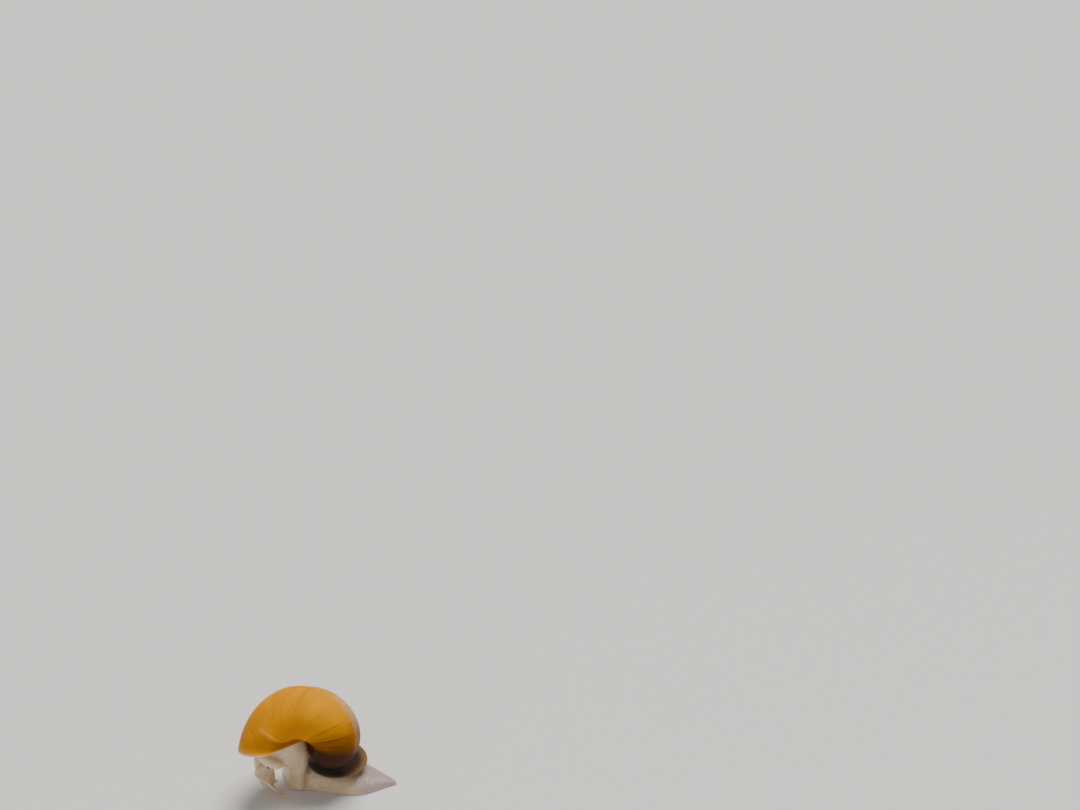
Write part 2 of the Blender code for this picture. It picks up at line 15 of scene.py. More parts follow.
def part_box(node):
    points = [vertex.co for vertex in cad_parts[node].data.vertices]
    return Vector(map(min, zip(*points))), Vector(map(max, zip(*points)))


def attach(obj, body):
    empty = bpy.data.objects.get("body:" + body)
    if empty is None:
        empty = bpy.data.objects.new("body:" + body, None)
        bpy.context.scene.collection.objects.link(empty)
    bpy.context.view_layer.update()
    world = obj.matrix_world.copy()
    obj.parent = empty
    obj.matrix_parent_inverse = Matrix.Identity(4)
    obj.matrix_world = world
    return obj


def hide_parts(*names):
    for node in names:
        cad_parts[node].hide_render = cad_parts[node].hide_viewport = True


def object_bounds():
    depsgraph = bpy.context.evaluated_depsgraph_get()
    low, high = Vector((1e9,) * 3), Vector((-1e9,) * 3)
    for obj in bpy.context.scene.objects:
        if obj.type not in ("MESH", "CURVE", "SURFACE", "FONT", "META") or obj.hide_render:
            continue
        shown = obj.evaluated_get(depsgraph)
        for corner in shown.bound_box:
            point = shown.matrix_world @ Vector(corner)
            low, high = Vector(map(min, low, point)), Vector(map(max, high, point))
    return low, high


bl_info = {
    "name": "Golden Apple Snail",
    "version": (1, 0, 0),
    "blender": (4, 5, 0),
    "location": "View3D > Sidebar > Apple Snail",
    "description": "Builds the looks of a life-size golden apple snail on its packed model",
    "category": "Object",
}

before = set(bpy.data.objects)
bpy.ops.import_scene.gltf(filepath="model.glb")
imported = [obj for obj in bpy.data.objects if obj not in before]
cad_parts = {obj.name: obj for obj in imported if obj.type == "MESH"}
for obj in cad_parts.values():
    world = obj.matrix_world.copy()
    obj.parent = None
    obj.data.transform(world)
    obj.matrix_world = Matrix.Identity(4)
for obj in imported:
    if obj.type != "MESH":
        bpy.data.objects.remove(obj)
CAD_BOX = [list(corner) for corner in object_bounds()]
MM = 0.001
WELD = 0.001 * MM

# The shell's whorl in parts of its height, as (distance from the axis, distance along it from the apex)
SHELL_HEIGHT = 46.0 * MM
WHORL_GROWTH = 2.4
WHORLS = 4
SUTURE = Vector((0.220, -0.280))
SHOULDER = [(0.306, -0.300), (0.380, -0.358), (0.458, -0.452), (0.500, -0.565)]
BASE = [
    (0.490, -0.812), (0.380, -0.940), (0.262, -0.995), (0.160, -0.998), (0.100, -0.960), (0.077, -0.895),
]
SPAN_STEPS = 8                     # points in each span of the outline
CALLUS_SPANS = 3                   # spans of the old base that the inner lip covers
LIP_THICKNESS = 1.0 * MM
LIP_BEAD = 0.25 * MM               # how far the rounded lip stands out
LIP_RINGS = 4
MOUTH_DEPTH = 56 / 360             # of a whorl
SHARPEST_CORNER = 0.5              # holds the wall down where the outline turns sharply
UMBILICUS_WHORLS = 2
APEX_REACH = 4.0 * MM              # the apex is closed within this distance
SHELL_SHARP = math.radians(48)     # edges sharper than this stay sharp

# The dark growth marks: how many turns back, how slanted, half how wide in turns, and how strong
GROWTH_MARKS = (
    (0.428, 0.02, 0.0024, 0.55), (0.480, 0.04, 0.0026, 0.80), (0.514, 0.05, 0.0022, 0.60),
    (0.458, -0.03, 0.0012, 0.35), (0.497, 0.00, 0.0010, 0.30), (0.556, 0.02, 0.0022, 0.40),
)
RIDGE_BACK = 0.134                 # the ridge along the base, painted pale as a highlight, in turns behind the lip

# How the shell is carried
APEX_BEARING = math.radians(131)
APEX_DIP = math.radians(9.5)
SHELL_ROLL = math.radians(18)

# The operculum
DISH_HALF_WIDTH = 13.6 * MM
DISH_HALF_LENGTH = 10.4 * MM
DISH_EGG = 0.06
DISH_RISE = 2.3 * MM
DISH_THICKNESS = 0.8 * MM
DISH_EDGE = 0.5 * MM
DISH_TILT = math.radians(4)
DISH_TURN = math.radians(11)
DISH_LIT_SIDE = math.radians(50)       # the side of the rim with painted light, which is palest
DISH_SHARP = math.radians(60)

FLESH = [
    "foot", "foot_tail", "neck", "head", "snout", "mantle", "siphon", "neck_lobe_right",
    "palp_left", "palp_right", "eye_stalk_left", "eye_stalk_right",
    "tentacle_left_root", "tentacle_left_middle", "tentacle_left_tip",
    "tentacle_right_root", "tentacle_right_middle", "tentacle_right_tip",
]

# The mouth: how far its middle lies behind and above the snout's front and lowest points, and its sizes
MOUTH_IN = Vector((0.9, 1.5)) * MM
MOUTH_SLOPE = Vector((0.0, 0.45, -1.0)).normalized()
MOUTH_LENGTH = 1.6 * MM
MOUTH_WIDTH = 0.30 * MM
MOUTH_CUT = 0.80 * MM
MOUTH_REACH = 4.0 * MM             # nothing further from its middle moves
LIP_OUT = 1.05 * MM
LIP_HEIGHT = 0.38 * MM

# The skin
SKIN_REACH = 0.20 * MM             # how far the parts swell before they are joined, and then shrink
SKIN_SMOOTHINGS = 9
FOLD_SIZE = 1.6 * MM
FOLD_FLOOR = 0.3 * MM              # no folds below this height, and full ones from so much higher
FOLD_RISE = 1.2 * MM

# The eyes
EYE_LOOK = (-0.28, 0.25)           # how far an eye looks along Y and Z for each step outwards
EYE_BULGE = 0.04
EYE_SEGMENTS = 48
EYE_RINGS = 32
EYE_SEAT = 0.86 * MM               # radius of the flesh that holds each eye, and how far behind it lies
EYE_SEAT_DEPTH = 0.52 * MM
EYE_SEAT_FINENESS = 3

# The camera, which stands at the snail's left and looks down on it
CAMERA_PLACE = (0.6180, -0.0958, 0.4045)
CAMERA_PITCH = math.radians(22.40)
CAMERA_HEADING = math.radians(163.714)
CAMERA_LENS = 66.67                # mm
CAMERA_SENSOR = 36.0               # mm wide
CAMERA_NEAR = 0.01

# The stage: each light's name, direction from the snail, width in degrees, share of the strength and colour
FLOOR_SIZE = 6.0
SKY = (0.95, 0.97, 1.0, 1.0)
LIGHTS = (
    ("above", (-0.10, 0.22, 0.95), 42, 1.0, (1.0, 0.965, 0.91)),
    ("side", (0.70, -0.45, 0.50), 60, 0.15, (0.94, 0.97, 1.0)),
)


# Small tools


def smooth_line(points, steps):
    """A smooth line through points, as Catmull-Rom spans of this many steps."""
    points = [Vector(p) for p in points]
    ends = [2 * points[0] - points[1], *points, 2 * points[-1] - points[-2]]
    line = []
    for a, b, c, d in zip(ends, ends[1:], ends[2:], ends[3:]):
        for step in range(steps):
            t = step / steps
            bend = (2 * a - 5 * b + 4 * c - d) * t**2 + (3 * b - a - 3 * c + d) * t**3
            line.append(0.5 * (2 * b + (c - a) * t + bend))
    line.append(points[-1])
    return line


def add_object(mesh, name):
    """Links a new object for a mesh."""
    obj = bpy.data.objects.new(name, mesh)
    bpy.context.scene.collection.objects.link(obj)
    return obj


def object_from(bm, name, material=None):
    """Links a new object for a BMesh, which is freed."""
    mesh = bpy.data.meshes.new(name)
    bm.to_mesh(mesh)
    bm.free()
    if material is not None:
        mesh.materials.append(material)
    return add_object(mesh, name)


def join_rings(bm, first, second):
    """Makes and gives the faces between two rings of the same number of points."""
    faces = []
    for i, j in zip(range(len(first)), [*range(1, len(first)), 0]):
        faces.append(bm.faces.new((first[i], first[j], second[j], second[i])))
    return faces


def settle(obj, node):
    """Moves a piece's mesh so that the middle of its box is the middle of the CAD node's."""
    low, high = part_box(node)
    corners = [v.co for v in obj.data.vertices]
    mine_low = Vector([min(c[i] for c in corners) for i in range(3)])
    mine_high = Vector([max(c[i] for c in corners) for i in range(3)])
    obj.data.transform(Matrix.Translation((Vector(low) + Vector(high) - mine_low - mine_high) / 2))
    return obj


def apply_modifiers(obj):
    """Puts the worked-out mesh in the place of the object's mesh and modifiers."""
    bpy.context.view_layer.update()
    depsgraph = bpy.context.evaluated_depsgraph_get()
    mesh = bpy.data.meshes.new_from_object(obj.evaluated_get(depsgraph), depsgraph=depsgraph)
    obj.modifiers.clear()
    obj.data = mesh
    return obj


def piece_on(obj, slot, *nodes):
    """Hides the CAD nodes that a finished piece takes the place of, and lets it ride with the snail."""
    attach(obj, "root")
    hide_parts(*nodes)


# Node trees


class Wire:
    """An output socket that takes Python's operators, each of which adds a Math node."""

    def __init__(self, nodes, socket):
        self.nodes = nodes
        self.socket = socket

    def math(self, operation, *others):
        """This wire through a Math node, with the other values after it."""
        return self.nodes.add("ShaderNodeMath", {"operation": operation}, self, *others)

    def after(self, operation, other):
        """The other value through a Math node, with this wire after it."""
        return self.nodes.add("ShaderNodeMath", {"operation": operation}, other, self)

    def __add__(self, other):
        return self.math("ADD", other)

    def __radd__(self, other):
        return self.after("ADD", other)

    def __sub__(self, other):
        return self.math("SUBTRACT", other)

    def __rsub__(self, other):
        return self.after("SUBTRACT", other)

    def __mul__(self, other):
        return self.math("MULTIPLY", other)

    def __rtruediv__(self, other):
        return self.after("DIVIDE", other)

    def __pow__(self, other):
        return self.math("POWER", other)

    def __abs__(self):
        return self.math("ABSOLUTE")

    def step_up(self, start, end, low=0.0, high=1.0):
        """Low before start, high after end, and a soft rise between them."""
        return self.nodes.add(
            "ShaderNodeMapRange", {"interpolation_type": "SMOOTHSTEP"}, self, start, end, low, high
        )

    def step_down(self, start, end):
        """1 before start, 0 after end, and a soft fall between them."""
        return self.step_up(start, end, 1.0, 0.0)


class Nodes:
    """A node tree, with short ways to add to it."""

    def __init__(self, tree):
        self.tree = tree

    def add(self, kind, settings=None, *values, out=0, **named):
        """Adds a node: its settings first, then values or links for its sockets in order or by name."""
        node = self.tree.nodes.new(kind)
        for key, value in (settings or {}).items():
            setattr(node, key, value)
        sockets = [*zip(node.inputs, values)]
        sockets += [(node.inputs[name.replace("_", " ")], value) for name, value in named.items()]
        for socket, value in sockets:
            self.join(socket, value)
        return Wire(self, node.outputs[out])

    def join(self, socket, value):
        """Links a wire to a socket, or sets its value."""
        if isinstance(value, Wire):
            self.tree.links.new(value.socket, socket)
        elif value is not None:
            socket.default_value = value

    def vector(self, x, y, z):
        """A vector of three wires or numbers."""
        return self.add("ShaderNodeCombineXYZ", None, x, y, z)

    def split(self, vector):
        """The three parts of a vector."""
        node = self.add("ShaderNodeSeparateXYZ", None, vector).socket.node
        return [Wire(self, output) for output in node.outputs]

    def noise(self, place, scale, detail=3.0, rough=0.55):
        """Soft noise from 0 to 1."""
        return self.add(
            "ShaderNodeTexNoise", None, Vector=place, Scale=scale, Detail=detail, Roughness=rough
        )


class Finish(Nodes):
    """A material with one Principled shader."""

    def __init__(self, name, roughness, **constants):
        self.material = bpy.data.materials.new(name)
        self.material.use_nodes = True
        super().__init__(self.material.node_tree)
        self.shader = self.tree.nodes["Principled BSDF"]
        self.shader.inputs["Roughness"].default_value = roughness
        for key, value in constants.items():
            self.shader.inputs[key.replace("_", " ")].default_value = value

    def place(self):
        """The place on the snail, in metres."""
        return self.add("ShaderNodeTexCoord", out="Object")

    def number(self, name):
        """A number that is kept on the mesh."""
        return self.add("ShaderNodeAttribute", {"attribute_name": name}, out="Fac")

    def noise_place(self, place, reach):
        """The place pushed about softly by up to this reach in metres."""
        push = self.add("ShaderNodeTexNoise", None, Vector=place, Scale=260.0, Detail=2.0, out="Color")
        centred = self.add("ShaderNodeVectorMath", {"operation": "SUBTRACT"}, push, (0.5, 0.5, 0.5))
        scaled = self.add("ShaderNodeVectorMath", {"operation": "SCALE"}, Vector=centred, Scale=reach)
        return self.add("ShaderNodeVectorMath", {"operation": "ADD"}, place, scaled)

    def cells(self, place, scale, feature="F1"):
        """How far a place lies from the nearest of many scattered points, or from its cell's edge."""
        return self.add(
            "ShaderNodeTexVoronoi", {"feature": feature}, Vector=place, Scale=scale, out="Distance"
        )

    def mix(self, mask, first, second):
        """The first colour where the mask is 0 and the second where it is 1."""
        node = self.tree.nodes.new("ShaderNodeMix")
        node.data_type = "RGBA"
        self.join(node.inputs[0], mask)
        for socket, value in ((node.inputs[6], first), (node.inputs[7], second)):
            self.join(socket, value if isinstance(value, Wire) else (*value, 1.0))
        return Wire(self, node.outputs[2])

    def paint(self, colour, roughness=None, bumps=()):
        """Links colour and roughness, and bumps as (height, depth in metres), to the shader."""
        self.join(self.shader.inputs["Base Color"], colour)
        if roughness is not None:
            self.join(self.shader.inputs["Roughness"], roughness)
        normal = None
        for height, depth in bumps:
            normal = self.add(
                "ShaderNodeBump", None, Strength=1.0, Distance=depth, Height=height, Normal=normal
            )
        if normal is not None:
            self.join(self.shader.inputs["Normal"], normal)
        return self.material


def start_tree(name, sockets):
    """A new Geometry Nodes tree, ready to be filled, and the wires of its inputs."""
    tree = bpy.data.node_groups.new(name, "GeometryNodeTree")
    for title, kind in sockets:
        tree.interface.new_socket(name=title, in_out="INPUT", socket_type=f"NodeSocket{kind}")
    tree.interface.new_socket(name="Geometry", in_out="OUTPUT", socket_type="NodeSocketGeometry")
    nodes = Nodes(tree)
    given = tree.nodes.new("NodeGroupInput")
    return nodes, [Wire(nodes, socket) for socket in given.outputs[: len(sockets)]]


def end_tree(nodes, geometry, finish):
    """Ends a Geometry Nodes tree with real geometry and its material."""
    real = nodes.add("GeometryNodeRealizeInstances", None, geometry)
    done = nodes.add("GeometryNodeSetMaterial", None, Geometry=real, Material=finish)
    result = nodes.tree.nodes.new("NodeGroupOutput")
    nodes.join(result.inputs[0], done)
    return nodes.tree


def coil_tree():
    """A Geometry Nodes tree that sweeps an outline along the coil: each turn is the same outline, grown."""
    nodes, given = start_tree("coil_sweep", (
        ("Outline", "Object"), ("Points", "Int"), ("Steps", "Int"), ("Growth", "Float"), ("Start", "Float"),
        ("End", "Float"), ("Across Start", "Float"), ("Across End", "Float"), ("Inside", "Float"),
        ("Finish", "Material"),
    ))
    outline, points, steps, growth, start, end, across_start, across_end, inside, finish = given
    grid = nodes.add("GeometryNodeMeshGrid", None, 1.0, 1.0, steps, points)
    place = nodes.split(nodes.add("GeometryNodeInputPosition"))
    along, across = place[0] + 0.5, place[1] + 0.5
    turn = start + (end - start) * along
    source = nodes.add(
        "GeometryNodeObjectInfo", {"transform_space": "ORIGINAL"}, outline, out="Geometry"
    )
    sample = nodes.add(
        "GeometryNodeSampleIndex", {"data_type": "FLOAT_VECTOR", "domain": "POINT"},
        Geometry=source, Value=nodes.add("GeometryNodeInputPosition"),
        Index=(across * (points - 1)).math("ROUND"),
    )
    away, down, _ = nodes.split(sample)
    size = growth**turn
    out = away * size
    angle = turn * math.tau
    swept = nodes.vector(out * angle.math("COSINE"), out * angle.math("SINE") * -1.0, down * size)
    across_all = across_start + (across_end - across_start) * across
    kept = grid
    for name, value in (("turns_back", turn * -1.0), ("across", across_all), ("inside", inside)):
        kept = nodes.add(
            "GeometryNodeStoreNamedAttribute", {"data_type": "FLOAT", "domain": "CORNER"},
            Geometry=kept, Name=name, Value=value,
        )
    moved = nodes.add("GeometryNodeSetPosition", None, Geometry=kept, Position=swept)
    return end_tree(nodes, moved, finish)


def wrinkle_tree():
    """A Geometry Nodes tree that folds a skin finely along its normals."""
    nodes, (skin, depth, size, floor, finish) = start_tree("skin_wrinkles", (
        ("Geometry", "Geometry"), ("Depth", "Float"), ("Size", "Float"), ("Floor", "Float"),
        ("Finish", "Material"),
    ))
    spot = nodes.add("GeometryNodeInputPosition")
    x, y, height = nodes.split(spot)
    pebbles = nodes.noise(spot, 1.0 / size, 3.0, 0.5)
    rings = nodes.noise(nodes.vector(x * 0.45, y * 0.7, height * 2.0), 0.8 / size, 2.0, 0.5)
    above = height.step_up(floor, floor + FOLD_RISE)
    push = ((pebbles - 0.5) + (abs(rings - 0.5) * 2.0 - 0.2) * 0.9) * depth * above
    normal = nodes.add("GeometryNodeInputNormal")
    shift = nodes.add("ShaderNodeVectorMath", {"operation": "SCALE"}, Vector=normal, Scale=push)
    moved = nodes.add("GeometryNodeSetPosition", None, Geometry=skin, Offset=shift)
    return end_tree(nodes, moved, finish)


def use_tree(obj, tree, **values):
    """Puts a Geometry Nodes tree on an object and sets its named inputs."""
    modifier = obj.modifiers.new(tree.name, "NODES")
    modifier.node_group = tree
    for item in tree.interface.items_tree:
        key = item.name.replace(" ", "_")
        if item.in_out == "INPUT" and key in values:
            modifier[item.identifier] = values[key]
    return apply_modifiers(obj)


# Sizes and colours that a user would change


def colour_property(name, description, default):
    """A colour setting without alpha."""
    return FloatVectorProperty(
        name=name, description=description, subtype="COLOR", size=3, min=0.0, max=1.0, default=default
    )


class SnailShellSettings(bpy.types.PropertyGroup):
    """The shell's fineness and colours."""

    steps: IntProperty(
        name="Steps", description="Rows of the mesh in each whorl", default=128, min=32, max=256
    )
    gold: colour_property("Gold", "The body whorl", (0.54, 0.195, 0.0))
    # Amber also paints the highlight on the upper part of the body whorl.
    amber: colour_property("Amber", "Lighter gold on the shoulder and near the lip", (0.92, 0.41, 0.0))
    # Brown also paints shade: behind the lip, on the base and on the underside.
    brown: colour_property("Brown", "The older part of the body whorl", (0.18, 0.050, 0.0))
    tan: colour_property("Tan", "The old shoulder under the suture", (0.52, 0.34, 0.19))
    # Painted shadow on the shell's underside.
    painted_shadow: colour_property("Stain", "Where the shell lies on the operculum", (0.030, 0.012, 0.009))
    spire: colour_property("Spire", "The worn early whorls", (0.60, 0.36, 0.24))
    chalk: colour_property("Chalk", "The most worn places", (0.74, 0.58, 0.45))
    # Lip also paints the highlight on the ridge along the base.
    lip: colour_property("Lip", "The thin edge of the mouth", (0.74, 0.52, 0.24))


class SnailSkinSettings(bpy.types.PropertyGroup):
    """The skin's fineness and colours."""

    voxel: FloatProperty(
        name="Voxel", description="Size of the remesh that joins the body's parts", default=0.3 * MM,
        min=0.2 * MM, max=1.0 * MM, unit="LENGTH", precision=5,
    )
    wrinkles: FloatProperty(
        name="Wrinkles", description="Depth of the folds in the mesh", default=0.22 * MM,
        min=0.0, max=1.0 * MM, unit="LENGTH", precision=5,
    )
    cream: colour_property("Cream", "The skin's ground colour", (0.84, 0.655, 0.43))
    # Tan also paints the shadow on the foot under the operculum.
    tan: colour_property("Tan", "Its darker clouds", (0.52, 0.32, 0.16))
    tail: colour_property("Tail", "The thin tail of the foot", (0.33, 0.245, 0.29))
    fleck: colour_property("Fleck", "Small golden flecks", (0.80, 0.48, 0.14))


class SnailHornSettings(bpy.types.PropertyGroup):
    """The operculum's fineness and colours."""

    rings: IntProperty(
        name="Rings", description="Rows from the middle to the rim", default=40, min=8, max=80
    )
    spokes: IntProperty(
        name="Spokes", description="Points around the rim", default=160, min=36, max=256
    )
    dark: colour_property("Dark", "The old horn in the middle", (0.030, 0.017, 0.010))
    rim: colour_property("Rim", "The thin horn at the edge", (0.22, 0.13, 0.055))


class SnailStageSettings(bpy.types.PropertyGroup):
    """The floor and the lights."""

    floor: colour_property("Floor", "The pale floor", (0.72, 0.71, 0.69))
    light: FloatProperty(
        name="Light", description="Strength of the soft light from above", default=3.7, min=0.0
    )
    fill: FloatProperty(
        name="Fill", description="Strength of the light from all round", default=0.26, min=0.0
    )


# The shell


def whorl_outline():
    """The whorl's outline at the mouth in metres, and where along it the next whorl joins."""
    joint = SUTURE * WHORL_GROWTH
    shoulder = [SUTURE, *map(Vector, SHOULDER), joint]
    whole = smooth_line([*shoulder, *map(Vector, BASE)], SPAN_STEPS)
    return [p * SHELL_HEIGHT for p in whole], SPAN_STEPS * (len(shoulder) - 1)


def mouth_outline(outline, joint):
    """The mouth's rim from the suture round the outer lip and base, and back along the inner lip."""
    old_base = [p / WHORL_GROWTH for p in outline[joint + 1 :]]
    inner_lip = list(reversed(old_base[: -SPAN_STEPS * CALLUS_SPANS]))
    return [*outline, outline[-1].lerp(inner_lip[0], 0.5), *inner_lip]


def inward(outline, distance):
    """A closed outline moved towards its inside, with its sides kept parallel."""
    moved = []
    for before, point, after in zip([outline[-1], *outline], outline, [*outline[1:], outline[0]]):
        sides = [(point - before).normalized(), (after - point).normalized()]
        first, second = (Vector((side.y, -side.x)) for side in sides)
        moved.append(point + (first + second) * distance / max(1 + first.dot(second), SHARPEST_CORNER))
    return moved


def shell_turn():
    """The turn that carries the shell's own axes to how the snail holds it."""
    level = math.cos(APEX_DIP)
    axis = Vector((math.cos(APEX_BEARING) * level, math.sin(APEX_BEARING) * level, -math.sin(APEX_DIP)))
    up = Vector((-math.sin(SHELL_ROLL), 0, math.cos(SHELL_ROLL)))
    up = (up - axis * up.dot(axis)).normalized()
    return Matrix((up.cross(axis), up, axis)).transposed().to_4x4()


def coil_band(bm, tree, finish, points, start, end, steps, across, inside=0.0):
    """Sweeps one line of the outline from one turn to another and adds it to the shell.

    Across is where the line starts and ends round the whorl: 0 at the suture, 0.5 where the next whorl
    joins, 1 at the umbilicus.
    """
    mesh = bpy.data.meshes.new("outline")
    mesh.from_pydata([(p.x, p.y, 0.0) for p in points], [], [])
    outline = add_object(mesh, "outline")
    band = add_object(bpy.data.meshes.new("band"), "band")
    use_tree(
        band, tree, Outline=outline, Points=len(points), Steps=steps + 1, Growth=WHORL_GROWTH,
        Start=start, End=end, Across_Start=across[0], Across_End=across[1], Inside=inside, Finish=finish,
    )
    bm.from_mesh(band.data)
    bpy.data.objects.remove(band)
    bpy.data.objects.remove(outline)


def label(bm, face, back, inside):
    """Keeps on a face of the shell how far back along the coil it lies, and whether it is inside."""
    back_of = bm.loops.layers.float["turns_back"]
    inside_of = bm.loops.layers.float["inside"]
    for loop in face.loops:
        loop[back_of] = back
        loop[inside_of] = inside


def shell_finish(settings):
    """Golden shell: growth lines round the coil, worn spire, dark old growth marks and small specks."""
    finish = Finish(
        "golden_shell", 0.45, IOR=1.15, Specular_Tint=(1.0, 0.62, 0.18, 1.0),
        Subsurface_Weight=0.06, Subsurface_Radius=(1.0, 0.4, 0.05), Subsurface_Scale=1.2 * MM,
    )
    back = finish.number("turns_back")
    across = finish.number("across")
    inside = finish.number("inside")
    outside = 1.0 - inside
    place = finish.place()
    clouds = finish.noise(place, 90.0, 4.0)
    wander = finish.noise(place, 220.0, 2.0)
    pits = finish.noise(place, 700.0, 4.0)
    lines = finish.noise(finish.vector(back * 46.0, across * 2.4, 0.0), 1.0, 5.0, 0.65)
    fine = finish.noise(finish.vector(back * 240.0, across * 6.0, 5.0), 1.0, 3.0, 0.6)
    grain = finish.noise(place, 2600.0, 2.0)
    drift = clouds - 0.5
    base = across.step_up(0.46, 0.56)

    # The ground colour, from the lip back to the old part that lies on the operculum, darkened there with
    # painted shade and painted shadow
    colour = finish.mix(clouds.step_up(0.38, 0.66) * 0.35, settings.gold, settings.amber)
    # Painted highlight: the upper part of the body whorl behind the lip is lightened with amber, as where
    # the light from above falls.
    painted_highlight = back.step_up(0.04, 0.18) * across.step_down(0.56, 0.76)
    colour = finish.mix(painted_highlight * 0.28, colour, settings.amber)
    colour = finish.mix((lines + drift * 0.4).step_up(0.46, 0.78) * 0.30, colour, settings.brown)
    # Painted shade: the part of the whorl just behind the lip is darkened with brown.
    colour = finish.mix(back.step_down(0.0, 0.12) * 0.30, colour, settings.brown)
    colour = finish.mix(back.step_down(0.0, 0.03) * 0.30, colour, settings.lip)
    shoulder = (across + drift * 0.12).step_down(0.37, 0.49) * (0.30 + across.step_up(0.10, 0.30) * 0.70)
    shoulder = shoulder * (back + drift * 0.16 + (lines - 0.5) * 0.06).step_up(0.29, 0.40)
    colour = finish.mix(shoulder * (0.40 + lines * 0.75), colour, settings.tan)
    # The older part of the body whorl turns brown: partly its own colour, partly painted shade on the
    # underside.
    old = (back + drift * 0.10 + (lines - 0.5) * 0.05 + (1.0 - base) * 0.02).step_up(0.40, 0.51)
    colour = finish.mix(old * (0.72 + base * 0.14), colour, settings.brown)
    # Painted shadow: the underside, where the shell lies on the operculum, turns near black.
    painted_shadow = (back + drift * 0.07 + (lines - 0.5) * 0.03).step_up(0.505, 0.580)
    painted_shadow = painted_shadow * (across + drift * 0.10).step_up(0.26, 0.40) * back.step_down(0.80, 1.0)
    colour = finish.mix(painted_shadow * 0.92, colour, settings.painted_shadow)

    # The painted shade behind the lip, on the base where it curves in, and the ridge that ends it, painted
    # pale as a highlight
    line_at = back - (across - 0.77) * 0.21 + (wander - 0.5) * 0.014
    # Painted shade: a band of the base just behind the lip is darkened with brown.
    shade_near_lip = line_at.step_down(0.10, 0.14) * back.step_up(0.012, 0.06) * across.step_up(0.66, 0.84)
    colour = finish.mix(shade_near_lip * 0.60, colour, settings.brown)
    # Painted highlight: the fold of the ridge is painted pale in the lip colour; its bump is real.
    ridge = abs(line_at - RIDGE_BACK).step_down(0.001, 0.010) * across.step_up(0.70, 0.80)
    colour = finish.mix(ridge * 0.24, colour, settings.lip)

    # Growth marks, scratches and specks
    mark = None
    for turn, slant, width, strength in GROWTH_MARKS:
        away = abs(back + (wander - 0.5) * 0.020 + (across - 0.7) * slant - turn)
        line = away.step_down(width * 0.3, width) * strength
        mark = line if mark is None else mark.math("MAXIMUM", line)
    mark = mark * across.step_up(0.50, 0.66) * pits.step_up(0.25, 0.50) * outside
    colour = finish.mix(mark, colour, (0.05, 0.018, 0.010))
    scratches = finish.cells(finish.vector(back * 120.0, across * 26.0, 1.0), 1.0)
    scratch = scratches.step_down(0.06, 0.10) * clouds.step_up(0.46, 0.56) * 0.5 * outside
    colour = finish.mix(scratch, colour, settings.brown)
    speck = finish.cells(place, 760.0).step_down(0.08, 0.15) * (clouds + old * 0.1).step_up(0.50, 0.60)
    colour = finish.mix(speck * 0.85 * outside, colour, (0.035, 0.014, 0.008))

    # The worn spire, the suture, the inside and the lip's edge
    worn = (back + drift * 0.9 + (pits - 0.5) * 0.5).step_up(0.86, 1.30)
    chalk = finish.mix(pits.step_up(0.35, 0.70), settings.spire, settings.chalk)
    chalk = finish.mix((lines + drift).step_up(0.45, 0.75) * 0.5, chalk, settings.tan)
    colour = finish.mix(worn * outside, colour, chalk)
    suture = across.step_down(0.0, 0.035) * outside
    colour = finish.mix(suture * 0.55, colour, settings.brown)
    colour = finish.mix(inside * 0.8, colour, settings.lip)
    edge = (back + inside * 9.0 + (lines - 0.5) * 0.003).step_down(-0.001, 0.009)
    colour = finish.mix(edge * 0.9, colour, settings.lip)

    rough = 0.40 + lines * 0.14 + worn * 0.20 + speck * 0.1
    bumps = (
        (lines, 0.14 * MM), (fine, 0.035 * MM), (ridge * 0.5 - mark - suture, 0.14 * MM),
        (grain, 0.012 * MM), (pits * worn, 0.20 * MM),
    )
    return finish.paint(colour, rough, bumps)


